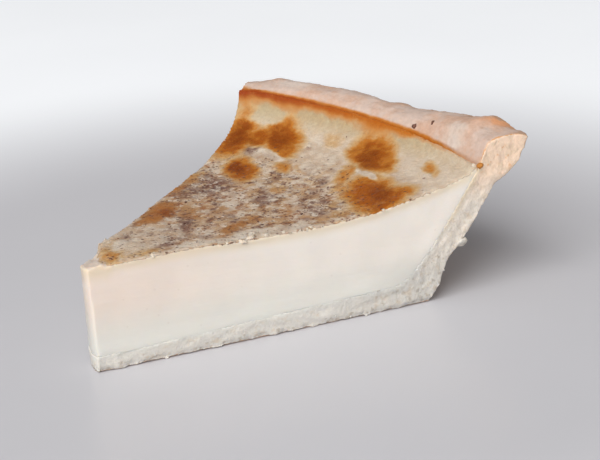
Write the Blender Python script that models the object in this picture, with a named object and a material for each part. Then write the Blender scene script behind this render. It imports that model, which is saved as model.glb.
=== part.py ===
"""A slice of baked custard pie: one eighth of a pie made in a 9 inch dish.

Two solids: the pastry crust, with its floor, leaning wall and uneven rim, and
the custard that fills it. Both are measured in pie coordinates, with the middle
of the whole pie at the origin: a radius, an angle that runs from the front cut
to the back cut, and a height above the dish. The finished slice is then moved
so that the middle of its base is at the origin. The tip points to -X.
"""

import math

import bmesh
import bpy
from mathutils import Vector, noise

MM = 0.001

# The slice
SLICE_ANGLE = math.radians(45.0)
TIP_FRONT = 6.9 * MM  # the blunt tip, from the middle of the pie along the front cut
TIP_BACK = 10.4 * MM  # and along the back cut
TIP_BULGE = 0.7 * MM
TIP_LEAN = 1.0 * MM  # the foot of the tip is set back by this much
FIT_GAP = 0.3 * MM  # between the custard and its crust

# The crust
BASE_RADIUS = 93.9 * MM
FLOOR_AT_MIDDLE = 4.0 * MM
FLOOR_SLOPE = 0.029  # the floor thickens towards the wall
CORNER_RADIUS = 84.0 * MM  # where the inside of the floor turns up
CORNER_TURN = (5.5 * MM, 0.3 * MM)  # these points pull the curves of the wall
WALL_LEAN_HEIGHT = 20.0 * MM
WALL_LEAN_FRONT = 98.5 * MM
WALL_LEAN_BACK = 103.0 * MM
WALL_KNEE = (99.2 * MM, 9.0 * MM)
LIP_UNDERSIDE = (112.6 * MM, 27.4 * MM)
LIP_TURN = (119.6 * MM, 30.4 * MM)
RIM_RADIUS = 121.7 * MM
RIM_INSIDE_RADIUS = 110.4 * MM
RIM_HEIGHT = 39.9 * MM
RIM_ROUNDING = 1.5 * MM
RIM_EDGE_DROP = 2.2 * MM
RIM_INSIDE_SHARE = 0.72  # of the way from the custard up to the crest
CRIMP_HEIGHT = 1.2 * MM  # the rim rises and falls by this much
CRIMP_PITCH = math.radians(32.0)
CRIMP_PEAK = math.radians(14.5)
FLAKE_ANGLE = math.radians(-17.0)
FLAKE_WIDTH = math.radians(1.6)
FLAKE_HEIGHT = 1.7 * MM
DENT_HEIGHT = 11.0 * MM  # a crumb has broken out of the wall at the front cut
DENT_SIZE = 3.6 * MM
DENT_DEPTH = 1.4 * MM
CRAG_DEPTH = 0.75 * MM
CRAG_SIZE = 6.0 * MM
FINE_CRAG_SIZE = 2.6 * MM
FINE_CRAG_SHARE = 0.6
CRUMB_DEPTH = 0.45 * MM  # on the two cut faces
CRUMB_SIZE = 2.2 * MM
CRUMB_BIAS = 0.35  # more crumbs have fallen out than stand proud

# The custard
FILL_HEIGHT = 26.1 * MM
RISE_RADIUS = 78.0 * MM  # from here the top climbs towards the crust
RISE_HEIGHT = 5.7 * MM
RISE_POWER = 1.2
CLIMB_POWER = 8  # what is left of the rise is a steep climb right at the crust
JOIN_RADIUS_FRONT = 107.4 * MM  # where the custard meets the crust on top
JOIN_RADIUS_BACK = 108.4 * MM
JOIN_HEIGHT_FRONT = 32.3 * MM
JOIN_HEIGHT_BACK = 39.3 * MM
EDGE_THICKNESS = 0.7 * MM  # of the custard where it meets the crust on top
SAG_FRONT = (57.0 * MM, 15.0 * MM, 0.8 * MM)  # radius, reach and depth of a shallow hollow
SAG_BACK = (36.0 * MM, 17.0 * MM, 0.6 * MM)
SKIN_CHIP_REACH = 5.6 * MM  # at the tip the baked skin has come away
SKIN_CHIP_DEPTH = 1.7 * MM
SKIN_CHIP_STEP = 1.0 * MM
RIPPLE_DEPTH = 0.22 * MM
RIPPLE_SIZE = 9.0 * MM

# Cells along the crust: the floor, then the wall up to the custard's edge, then the rim
FLOOR_CELLS = 26
WALL_TOP = FLOOR_CELLS + 14
RIM_TOP = WALL_TOP + 7
FLOOR_SPACING = 1.35  # above 1, the floor's cells are shortest at the tip
CRUST_LAYERS = 5
CUSTARD_LAYERS = 5
ANGLE_CELLS = 40
FLAT_ANGLE = math.radians(0.02)  # cells that differ by less lie in one plane

PASTRY_COLOUR = (0.80, 0.62, 0.44)
PASTRY_ROUGHNESS = 0.8
CUSTARD_COLOUR = (0.86, 0.76, 0.60)
CUSTARD_ROUGHNESS = 0.35


def mix(a, b, t):
    return a + (b - a) * t


def bezier(points, t):
    """A point of the curve that the control points (radius, height) pull."""
    while len(points) > 1:
        points = [(mix(p[0], q[0], t), mix(p[1], q[1], t)) for p, q in zip(points, points[1:])]
    return points[0]


def bell(distance, width):
    return math.exp(-((distance / width) ** 2))


def grain(place, size):
    """Smooth unevenness between about -1 and 1, with lumps of the given size."""
    return noise.noise(place / size)


def angle_at(around):
    return SLICE_ANGLE * (around - 0.5)


def place_at(radius, height, around):
    angle = angle_at(around)
    return Vector((radius * math.cos(angle), radius * math.sin(angle), height))


def tip_radius(around, height):
    """The blunt tip: a slightly bulging face from the front cut to the back cut."""
    front = place_at(TIP_FRONT, 0.0, 0.0)
    back = place_at(TIP_BACK, 0.0, 1.0)
    side = back - front
    ray = place_at(1.0, 0.0, around)
    radius = (front.x * side.y - front.y * side.x) / (ray.x * side.y - ray.y * side.x)
    radius -= TIP_BULGE * 4.0 * around * (1.0 - around)
    return radius + TIP_LEAN * (1.0 - height / FILL_HEIGHT)


def join_radius(around):
    return mix(JOIN_RADIUS_FRONT, JOIN_RADIUS_BACK, around)


def join_height(around):
    return mix(JOIN_HEIGHT_FRONT, JOIN_HEIGHT_BACK, around)


def floor_height(radius, around):
    return FLOOR_AT_MIDDLE + FLOOR_SLOPE * radius * math.cos(angle_at(around))


def floor_share(station):
    """How far along the floor a station lies."""
    return (station / FLOOR_CELLS) ** FLOOR_SPACING


def wall_share(station):
    """How far up the wall a station lies."""
    return (station - FLOOR_CELLS) / (WALL_TOP - FLOOR_CELLS)


def rim_share(station):
    """How far up the rim a station lies."""
    return (station - WALL_TOP) / (RIM_TOP - WALL_TOP)


def bed(station, around):
    """The inside of the crust under the custard, from the tip to where they meet on top."""
    if station <= FLOOR_CELLS:
        start = tip_radius(around, FLOOR_AT_MIDDLE)
        radius = mix(start, CORNER_RADIUS, floor_share(station))
        return radius, floor_height(radius, around)
    foot = (CORNER_RADIUS, floor_height(CORNER_RADIUS, around))
    turn = (foot[0] + CORNER_TURN[0], foot[1] + CORNER_TURN[1])
    lean = (mix(WALL_LEAN_FRONT, WALL_LEAN_BACK, around), WALL_LEAN_HEIGHT)
    top = (join_radius(around), join_height(around))
    return bezier([foot, turn, lean, top], wall_share(station))


def rim_crest(around):
    angle = angle_at(around)
    wave = CRIMP_HEIGHT * math.cos(2.0 * math.pi * (angle - CRIMP_PEAK) / CRIMP_PITCH)
    return RIM_HEIGHT + wave + FLAKE_HEIGHT * bell(angle - FLAKE_ANGLE, FLAKE_WIDTH)


def crust_inside(station, around):
    """The bed, and then the bare inside of the rim above the custard."""
    if station <= WALL_TOP:
        return bed(station, around)
    along = rim_share(station)
    low = join_height(around)
    high = mix(low, rim_crest(around), RIM_INSIDE_SHARE)
    return mix(join_radius(around), RIM_INSIDE_RADIUS, along), mix(low, high, along)


def crust_outside(station, around):
    """The underside, the outside of the wall, and the flared lip."""
    if station <= FLOOR_CELLS:
        start = tip_radius(around, 0.0)
        return mix(start, BASE_RADIUS, floor_share(station)), 0.0
    if station <= WALL_TOP:
        foot = (BASE_RADIUS, 0.0)
        radius, height = bezier([foot, WALL_KNEE, LIP_UNDERSIDE], wall_share(station))
        from_cut = BASE_RADIUS * (angle_at(around) - angle_at(0.0))
        dent = bell(height - DENT_HEIGHT, DENT_SIZE) * bell(from_cut, DENT_SIZE)
        return radius - DENT_DEPTH * dent, height
    edge = (RIM_RADIUS, rim_crest(around) - RIM_EDGE_DROP)
    return bezier([LIP_UNDERSIDE, LIP_TURN, edge], rim_share(station))


def crust_point(station, depth, around):
    """depth runs from 0 on the outside of the crust to 1 on its inside."""
    outer = crust_outside(station, around)
    inner = crust_inside(station, around)
    radius = mix(outer[0], inner[0], depth)
    height = mix(outer[1], inner[1], depth)
    if station == RIM_TOP:
        height += RIM_ROUNDING * 4.0 * depth * (1.0 - depth)
    return place_at(radius, height, around)


def custard_top(radius, around):
    rise = max(0.0, (radius - RISE_RADIUS) / (join_radius(around) - RISE_RADIUS))
    climb = join_height(around) - FILL_HEIGHT - RISE_HEIGHT
    height = FILL_HEIGHT + RISE_HEIGHT * rise ** RISE_POWER + climb * rise ** CLIMB_POWER
    for (middle, reach, depth), share in ((SAG_FRONT, 1.0 - around), (SAG_BACK, around)):
        height -= depth * share * bell(radius - middle, reach)
    past_chip = (radius - tip_radius(around, FILL_HEIGHT) - SKIN_CHIP_REACH) / SKIN_CHIP_STEP
    return height - SKIN_CHIP_DEPTH * min(1.0, max(0.0, 0.5 - past_chip))


def custard_point(station, level, around):
    """level runs from 0 on the bed to 1 on the top."""
    radius, bottom = bed(station, around)
    ahead = Vector(bed(min(station + 0.5, WALL_TOP), around))
    behind = Vector(bed(max(station - 0.5, 0.0), around))
    slope = (ahead - behind).normalized()
    radius -= FIT_GAP * slope.y
    bottom += FIT_GAP * slope.x
    top = max(custard_top(radius, around), bottom + EDGE_THICKNESS)
    height = mix(bottom, top, level)
    if station == 0:
        radius = tip_radius(around, height)
    return place_at(radius, height, around)


def block(cells):
    """A closed box from 0 to 1 on each axis, its sides divided into cells."""
    mesh = bmesh.new()
    bmesh.ops.create_cube(mesh, size=1.0)
    bmesh.ops.translate(mesh, verts=mesh.verts, vec=(0.5, 0.5, 0.5))
    for axis, count in enumerate(cells):
        along = [e for e in mesh.edges if abs(e.verts[0].co[axis] - e.verts[1].co[axis]) > 0.5]
        bmesh.ops.subdivide_edges(mesh, edges=along, cuts=count - 1, use_grid_fill=True)
    return mesh


def shape_block(cells, point):
    """A block bent into the form that point gives; also each corner's cell numbers."""
    mesh = block(cells)
    numbers = {}
    for vert in mesh.verts:
        steps = [round(vert.co[axis] * cells[axis]) for axis in range(3)]
        numbers[vert] = steps
        vert.co = point(steps[0], steps[1] / cells[1], steps[2] / cells[2])
    bmesh.ops.reverse_faces(mesh, faces=mesh.faces)  # radius, height and angle are a left-handed set
    return mesh, numbers


def roughen_crust(mesh, numbers):
    """Crags on the outside and the rim, and crumbs on the two cut faces."""
    mesh.normal_update()
    moves = {}
    for vert, (station, depth, around) in numbers.items():
        cut = around in (0, ANGLE_CELLS)
        outside = depth == 0 and station > FLOOR_CELLS + 1
        if outside or (station == RIM_TOP and 0 < depth < CRUST_LAYERS):
            crag = grain(vert.co, CRAG_SIZE) + FINE_CRAG_SHARE * grain(vert.co, FINE_CRAG_SIZE)
            moves[vert] = vert.normal * CRAG_DEPTH * crag
        elif cut and depth < CRUST_LAYERS and station > 0:
            side = 1.0 if around == 0 else -1.0
            angle = angle_at(around / ANGLE_CELLS)
            inward = Vector((-math.sin(angle), math.cos(angle), 0.0)) * side
            moves[vert] = inward * CRUMB_DEPTH * (CRUMB_BIAS + grain(vert.co, CRUMB_SIZE))
    for vert, move in moves.items():
        vert.co += move
        vert.co.z = max(vert.co.z, 0.0)


def ripple_custard(mesh, numbers):
    """Shallow dimples in the baked top, but not in its edge at the crust or at the tip."""
    for vert, (station, level, _) in numbers.items():
        if level == CUSTARD_LAYERS and 0 < station < WALL_TOP - 2:
            vert.co.z += RIPPLE_DEPTH * grain(vert.co, RIPPLE_SIZE)


def join_flat_cells(mesh):
    """Leaves one face wherever cells lie in one plane, and then cuts all faces into triangles."""
    bmesh.ops.dissolve_limit(mesh, angle_limit=FLAT_ANGLE, verts=mesh.verts, edges=mesh.edges)
    bmesh.ops.triangulate(mesh, faces=mesh.faces)


def finish(name, mesh, colour, roughness):
    join_flat_cells(mesh)
    data = bpy.data.meshes.new(name)
    mesh.to_mesh(data)
    mesh.free()
    material = bpy.data.materials.new(name)
    material.use_nodes = True
    shader = material.node_tree.nodes["Principled BSDF"]
    shader.inputs["Base Color"].default_value = (*colour, 1.0)
    shader.inputs["Roughness"].default_value = roughness
    shader.inputs["Metallic"].default_value = 0.0
    data.materials.append(material)
    solid = bpy.data.objects.new(name, data)
    bpy.context.collection.objects.link(solid)
    return solid


def make_crust():
    mesh, numbers = shape_block((RIM_TOP, CRUST_LAYERS, ANGLE_CELLS), crust_point)
    roughen_crust(mesh, numbers)
    return finish("crust", mesh, PASTRY_COLOUR, PASTRY_ROUGHNESS)


def make_custard():
    mesh, numbers = shape_block((WALL_TOP, CUSTARD_LAYERS, ANGLE_CELLS), custard_point)
    ripple_custard(mesh, numbers)
    return finish("custard", mesh, CUSTARD_COLOUR, CUSTARD_ROUGHNESS)


def stand_on_origin(solids):
    """Moves the slice so that the middle of its box is over the origin and its base at z = 0."""
    corners = [vert.co for solid in solids for vert in solid.data.vertices]
    middle = [(min(c[i] for c in corners) + max(c[i] for c in corners)) / 2.0 for i in (0, 1)]
    for solid in solids:
        for vert in solid.data.vertices:
            vert.co.x -= middle[0]
            vert.co.y -= middle[1]


def main():
    for old in list(bpy.data.objects):
        bpy.data.objects.remove(old)
    stand_on_origin([make_crust(), make_custard()])


main()
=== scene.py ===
"""The looks of a slice of baked custard pie.

The pastry and the custard are made from the measured solids: each is given a
fine skin of small faces, its crumb, dimples and torn edges are pressed into
that skin, and its browning follows the places where the pie has caught the
heat. Ground nutmeg and crumbs lie on top as small pieces of their own.

Lengths are in metres unless a name or a comment says mm. The tip of the slice
points to -X and the front cut faces -Y.
"""

import math
import random

import bpy
from mathutils import Matrix, Vector, noise
from mathutils.bvhtree import BVHTree


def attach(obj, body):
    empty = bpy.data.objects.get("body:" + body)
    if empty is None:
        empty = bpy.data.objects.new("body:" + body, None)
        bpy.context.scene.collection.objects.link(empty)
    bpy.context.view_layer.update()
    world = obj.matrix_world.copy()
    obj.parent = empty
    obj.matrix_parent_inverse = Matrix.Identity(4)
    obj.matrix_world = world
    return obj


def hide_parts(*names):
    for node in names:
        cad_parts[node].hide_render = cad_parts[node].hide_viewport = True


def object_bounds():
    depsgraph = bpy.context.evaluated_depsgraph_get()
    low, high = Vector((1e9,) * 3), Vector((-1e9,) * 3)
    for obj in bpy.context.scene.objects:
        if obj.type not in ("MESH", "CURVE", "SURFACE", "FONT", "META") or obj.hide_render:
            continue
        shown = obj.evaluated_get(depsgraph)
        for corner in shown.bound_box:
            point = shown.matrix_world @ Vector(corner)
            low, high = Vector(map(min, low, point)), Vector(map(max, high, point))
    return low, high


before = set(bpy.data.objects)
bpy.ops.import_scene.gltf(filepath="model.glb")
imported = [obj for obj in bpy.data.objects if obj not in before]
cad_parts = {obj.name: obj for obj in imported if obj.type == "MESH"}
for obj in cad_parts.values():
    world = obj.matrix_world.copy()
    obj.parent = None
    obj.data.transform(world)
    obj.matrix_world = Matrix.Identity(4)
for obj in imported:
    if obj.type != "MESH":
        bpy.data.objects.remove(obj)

bl_info = {
    "name": "Custard pie slice",
    "version": (1, 0, 0),
    "blender": (4, 5, 0),
    "location": "3D View > Sidebar > Pie",
    "description": "Bakes the crust, the custard and the spice of one slice of custard pie",
    "category": "Object",
}

MM = 0.001
CAD_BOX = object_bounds()
UP = Vector((0.0, 0.0, 1.0))
HALF_SLICE = math.radians(22.5)
CUT_WAYS = [Vector((-math.sin(HALF_SLICE), side * math.cos(HALF_SLICE), 0.0)) for side in (-1, 1)]
SEED = 11


def middle_of_pie():
    """Where the planes of the two cuts meet, on the ground."""
    corners = [vert.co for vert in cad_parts["custard"].data.vertices]
    front, back = (max(corner.dot(way) for corner in corners) for way in CUT_WAYS)
    x = -(front + back) / (2.0 * math.sin(HALF_SLICE))
    y = (back - front) / (2.0 * math.cos(HALF_SLICE))
    return Vector((x, y, 0.0))


PIE_MIDDLE = middle_of_pie()
JOIN_RADIUS = (107.4, 108.4)  # mm from the middle of the pie, at the front cut and at the back cut
JOIN_HEIGHT = (32.3, 39.3)  # mm, at the same two places
RIM_INSIDE = 110.4  # mm from the middle of the pie, where the inner face of the rim turns over
SEAM_REACH = 2.2  # mm, how far the browning of the join climbs the crust, and twice that at the back cut
INWARD_MARK = Vector((70.0, 0.0, 0.0)) * MM  # from the middle of the pie, well inside the slice
INWARD_STEP = 0.3 * MM
TOUCHING = 0.5 * MM  # nearer than this, custard and pastry were baked together
OVERHEAD = 1.0  # well above the slice, to look down on it from

# ------------ sizes and colours


def length(name, text, millimetres):
    return bpy.props.FloatProperty(
        name=name, description=text, default=millimetres * MM, min=0.0, unit="LENGTH"
    )


def amount(name, text, value, unit="NONE"):
    return bpy.props.FloatProperty(name=name, description=text, default=value, min=0.0, unit=unit)


def number(name, text, value):
    return bpy.props.IntProperty(name=name, description=text, default=value, min=1)


def colour(name, text, red, green, blue):
    """A colour given as the eye reads it, from 0 to 255, and stored as linear light."""
    stored = [linear(value / 255.0) for value in (red, green, blue)]
    return bpy.props.FloatVectorProperty(
        name=name, description=text, default=stored, size=3, min=0.0, max=1.0, subtype="COLOR"
    )


def linear(share):
    return share / 12.92 if share <= 0.04045 else ((share + 0.055) / 1.055) ** 2.4


class CustardSizes(bpy.types.PropertyGroup):
    grain: length("Grain", "Size of the faces of the custard's surface", 0.435)
    fit: length("Fit", "How far the custard spreads into the pastry it was baked in", 1.0)
    dimple_size: length("Dimple size", "Width of the dimples in the baked top", 4.5)
    dimple_depth: length("Dimple depth", "Depth of the dimples in the baked top", 0.35)
    pimple_size: length("Pimple size", "Width of the small bumps in the baked top", 1.1)
    pimple_depth: length("Pimple depth", "Height of the small bumps in the baked top", 0.2)
    tear_size: length("Tear size", "Length of the tears where the knife dragged the skin", 1.7)
    tear_depth: length("Tear depth", "Depth of the tears along the top of each cut", 0.9)
    wave_size: length("Wave size", "Length of the waves that the knife left in the cut", 12.0)
    wave_depth: length("Wave depth", "Depth of the waves that the knife left in the cut", 0.3)
    shrink: length("Shrink", "How far the cut custard lies back from the plane of the cut", 0.07)
    skin: length("Skin", "Thickness of the browned skin", 0.5)
    cream: colour("Cream", "The palest of the baked top", 206, 193, 177)
    greige: colour("Greige", "The duller of the baked top", 176, 158, 142)
    yolk: colour("Yolk", "The yellower top beside the crust", 173, 158, 128)
    smudge: colour("Smudge", "The faint browning of the middle", 172, 128, 72)
    straw: colour("Straw", "The palest browning", 190, 154, 106)
    amber: colour("Amber", "The first real browning", 174, 111, 42)
    caramel: colour("Caramel", "Well browned", 150, 80, 18)
    burnt: colour("Burnt", "The darkest hearts", 112, 50, 8)
    russet: colour("Russet", "Where dry nutmeg has browned", 145, 96, 60)
    dusk: colour("Dusk", "Where wet nutmeg has stained the top", 96, 64, 60)
    speck: colour("Speck", "Specks of nutmeg sunk into the top", 92, 60, 50)
    inside: colour("Inside", "The cut custard", 229, 222, 214)
    inside_warm: colour("Inside warm", "The cut custard towards the tip", 227, 213, 202)
    # Greyer and a little darker towards the bottom of the cut
    inside_low: colour("Inside low", "The denser custard near the crust", 219, 217, 210)
    # Painted shade: a darker copy of the cut custard for bare faces that look up, against the light from
    # above
    ledge: colour("Ledge", "Bare custard that lies open to the light", 206, 190, 176)
    under_skin: colour("Under skin", "The cut just under the browned skin", 223, 207, 180)


class PastrySizes(bpy.types.PropertyGroup):
    grain: length("Grain", "Size of the faces of the pastry's surface", 0.465)
    crumb_size: length("Crumb size", "Width of the crumbs in the cut", 1.5)
    crumb_depth: length("Crumb depth", "How far the crumbs of the cut stand out", 0.4)
    pore_size: length("Pore size", "Width of the small holes in the cut", 0.8)
    pore_depth: length("Pore depth", "Depth of the small holes in the cut", 0.3)
    foot_size: length("Foot size", "Length of the chips along the foot of the cut", 2.6)
    foot_depth: length("Foot depth", "Depth of the chips along the foot of the cut", 1.2)
    skin_size: length("Skin lumps", "Width of the lumps of the baked skin", 5.0)
    skin_depth: length("Skin relief", "Height of the lumps of the baked skin", 0.45)
    grit_size: length("Grit size", "Width of the small bumps of the baked skin", 1.3)
    grit_depth: length("Grit depth", "Height of the small bumps of the baked skin", 0.25)
    bed_depth: length("Bed depth", "How far the pastry gives way under the custard", 0.3)
    lip_depth: length("Lip depth", "How far the cut pastry lies back beside the custard", 0.02)
    floor: colour("Floor", "The moist cut floor", 212, 208, 201)
    wall: colour("Wall", "The cut wall", 216, 207, 196)
    rim: colour("Rim", "The dry cut rim", 230, 204, 181)
    # Painted shade of the small holes in the crumb
    pore_shade: colour("Pore", "Inside the small holes", 158, 142, 122)
    tan: colour("Tan", "Toasted crumbs in the cut", 200, 178, 150)
    amber: colour("Amber", "Spots of butter browned in the rim", 200, 138, 76)
    bare: colour("Bare", "The baked top of the rim", 194, 173, 161)
    blush: colour("Blush", "The warmer parts of the rim", 191, 158, 138)
    crest: colour("Crest", "The browner outer edge of the rim", 170, 134, 108)
    flake: colour("Flake", "The toasted flake at the front end of the rim", 208, 150, 110)
    golden: colour("Golden", "The browned outside and underside", 212, 180, 140)
    brown: colour("Brown", "The darker parts of the outside", 194, 150, 104)
    seam: colour("Seam", "Where the custard has boiled up against the rim", 144, 62, 16)
    seam_amber: colour("Seam amber", "The same line where it has caught less heat", 170, 96, 24)
    seam_light: colour("Seam light", "The lighter edge of that line", 180, 120, 58)


class SpiceSizes(bpy.types.PropertyGroup):
    flecks: number("Flecks", "How many flecks of nutmeg lie on the top", 700)
    fleck: length("Fleck", "Length of a middling fleck of nutmeg", 0.42)
    crumbs: number("Crumbs", "How many crumbs of pastry cling to the cuts", 170)
    crumb: length("Crumb", "Length of a middling crumb of pastry", 0.5)
    scraps: number("Scraps", "How many scraps of custard lie along the cuts", 16)
    scrap: length("Scrap", "Length of a middling scrap of custard", 0.55)
    nutmeg: colour("Nutmeg", "Ground nutmeg", 98, 68, 58)


class StageSizes(bpy.types.PropertyGroup):
    # The floor's colours are painted shade near the slice and painted light further off
    near: colour("Floor near", "The floor round the slice", 197, 197, 202)
    far: colour("Floor far", "The floor further off", 246, 249, 253)
    near_reach: length("Near reach", "Radius within which the floor is darkest", 100.0)
    far_reach: length("Far reach", "Radius beyond which the floor is lightest", 230.0)
    glow: amount("Glow", "How much the far floor shines by itself", 0.14)
    sky: amount("Sky", "Strength of the light from all round", 0.23)
    window: amount("Window", "Power of the large soft light", 410.0, "POWER")
    fill: amount("Fill", "Power of the low light beside the camera", 150.0, "POWER")


class PieSlice(bpy.types.PropertyGroup):
    custard: bpy.props.PointerProperty(type=CustardSizes)
    pastry: bpy.props.PointerProperty(type=PastrySizes)
    spice: bpy.props.PointerProperty(type=SpiceSizes)
    stage: bpy.props.PointerProperty(type=StageSizes)


# ------------ measuring


def form_of(node):
    """The node's own surface, to measure from."""
    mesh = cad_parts[node].data
    faces = [tuple(face.vertices) for face in mesh.polygons]
    return BVHTree.FromPolygons([vert.co for vert in mesh.vertices], faces)


def fade(value, start, end):
    """Goes smoothly from 0 at start to 1 at end."""
    share = min(1.0, max(0.0, (value - start) / (end - start)))
    return share * share * (3.0 - 2.0 * share)


def fade_mm(distance, start, end):
    """The same for a distance in metres, between a start and an end in mm."""
    return fade(distance, start * MM, end * MM)


def from_middle(place):
    """Distance from the upright line through the middle of the whole pie."""
    return (place - PIE_MIDDLE).xy.length


def near_tip(place):
    """1 at the tip of the slice, and 0 further in."""
    return fade_mm(from_middle(place), 14.0, 11.0)


def from_cut(place):
    """How far a point lies inside the nearer of the two cuts."""
    return min(-(place - PIE_MIDDLE).dot(way) for way in CUT_WAYS)


def faces_cut(vert):
    """1 where a surface belongs to one of the two cuts or to the blunt end at the tip, 0 elsewhere."""
    way = CUT_WAYS[0] if vert.co.y < PIE_MIDDLE.y else CUT_WAYS[1]
    cut = fade(vert.normal.dot(way), 0.35, 0.7) * fade_mm(from_cut(vert.co), 1.6, 1.1)
    return max(cut, fade(-vert.normal.x, 0.5, 0.8) * near_tip(vert.co))


def along_crust(place):
    """0 at the front cut and 1 at the back cut."""
    out = place - PIE_MIDDLE
    return min(1.0, max(0.0, 0.5 + 0.5 * math.atan2(out.y, out.x) / HALF_SLICE))


def from_join(place):
    """Distance from the line where the custard's top meets the crust."""
    out = place - PIE_MIDDLE
    share = along_crust(place)
    radius, height = (a + (b - a) * share for a, b in (JOIN_RADIUS, JOIN_HEIGHT))
    return math.hypot(out.xy.length - radius * MM, out.z - height * MM)


def depth_under(form, place):
    """How far a point lies under the top of a form, looking a little inward of it."""
    inward = (PIE_MIDDLE + INWARD_MARK - place).normalized() * INWARD_STEP
    hit = form.ray_cast(Vector((place.x + inward.x, place.y + inward.y, OVERHEAD)), -UP)[0]
    return hit.z - place.z if hit else 0.0


# ------------ shaping


def add_object(name, data):
    """A new object in the scene."""
    made = bpy.data.objects.new(name, data)
    bpy.context.scene.collection.objects.link(made)
    return made


def only(piece):
    """Selects this piece and nothing else."""
    bpy.ops.object.select_all(action="DESELECT")
    piece.select_set(True)
    bpy.context.view_layer.objects.active = piece


def edit(piece, step, **settings):
    """Runs one edit mode operator on the whole piece."""
    only(piece)
    bpy.ops.object.mode_set(mode="EDIT")
    bpy.ops.mesh.select_all(action="SELECT")
    step(**settings)
    bpy.ops.object.mode_set(mode="OBJECT")


def finish_with(piece, kind, **settings):
    """Adds a modifier and applies it."""
    only(piece)
    modifier = piece.modifiers.new(kind.title(), kind)
    for name, value in settings.items():
        setattr(modifier, name, value)
    bpy.ops.object.modifier_apply(modifier=modifier.name)


def copy_of(node, name):
    """A piece with the node's form, its loose triangles merged."""
    piece = add_object(name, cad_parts[node].data.copy())
    piece.data.name = name
    piece.data.materials.clear()
    edit(piece, bpy.ops.mesh.remove_doubles, threshold=MM / 1000.0)
    return piece


def spread_into(piece, form, reach):
    """Grows the piece where it lies against a form, so that no gap is left between them."""
    for vert in piece.data.vertices:
        nearest, _, _, gap = form.find_nearest(vert.co)
        if gap < TOUCHING:
            vert.co += (nearest - vert.co).normalized() * reach


def paint(piece, rows):
    """Keeps the named numbers of each vertex, for the material to read."""
    for name in rows[0]:
        attribute = piece.data.attributes.new(name, "FLOAT", "POINT")
        attribute.data.foreach_set("value", [row[name] for row in rows])


def group(piece, rows):
    """Keeps the named weights of each vertex, for the modifiers to read."""
    for name in rows[0]:
        made = piece.vertex_groups.new(name=name)
        for index, row in enumerate(rows):
            if row[name] > 0.0:
                made.add([index], min(row[name], 1.0), "REPLACE")


def soften(piece, within, times):
    """Smooths the surface, within one vertex group."""
    finish_with(piece, "SMOOTH", factor=0.5, iterations=times, vertex_group=within)


def lay_back(piece, within, depth):
    """Lays the surface back, within one vertex group."""
    finish_with(piece, "DISPLACE", strength=-depth, mid_level=0.0, vertex_group=within)


def press(piece, within, size, depth, middle=0.5):
    """Pushes the surface in and out by a cloudy pattern, within one vertex group.

    The middle is the tone of the pattern that leaves the surface where it is: at 0.5 it
    goes as far out as in, and at 1 only in.
    """
    pattern = bpy.data.textures.new(f"{piece.name} {within}", "CLOUDS")
    pattern.noise_scale = size
    pattern.noise_depth = 2
    finish_with(
        piece, "DISPLACE", texture=pattern, texture_coords="LOCAL", strength=depth,
        mid_level=middle, vertex_group=within,
    )


def hold_in_slice(piece):
    """Keeps the relief inside the planes of the cuts and inside the box that the solids fill."""
    for vert in piece.data.vertices:
        for way in CUT_WAYS:
            beyond = (vert.co - PIE_MIDDLE).dot(way)
            if beyond > 0.0:
                vert.co -= way * beyond
    hold_in_box(piece)


def hold_in_box(piece):
    """Keeps a piece inside the box that the solids fill."""
    low, high = CAD_BOX
    for vert in piece.data.vertices:
        vert.co = [min(max(value, a), b) for value, a, b in zip(vert.co, low, high)]


def hand_over(piece, material, slot, *nodes):
    """Dresses a finished piece and lets it ride on the slice."""
    piece.data.materials.clear()
    piece.data.materials.append(material)
    edit(piece, bpy.ops.mesh.normals_make_consistent, inside=False)
    bpy.ops.object.shade_smooth()
    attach(piece, "root")
    if nodes:
        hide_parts(*nodes)


# ------------ materials


ALL_HEIGHTS = 1000.0  # mm, so that an oval reaches through the whole slice
OVAL_REACH = 1.4  # an oval has faded away at this many times its half length
OVAL_HEART = 0.82  # and has its full strength from this far in, where its middle is 1
OVAL_BLEND = 0.15  # how softly two ovals run together


def opaque(value):
    """A colour with the alpha that a socket wants; a socket passes as it is."""
    return value if isinstance(value, bpy.types.NodeSocket) else (*value[:3], 1.0)


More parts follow.
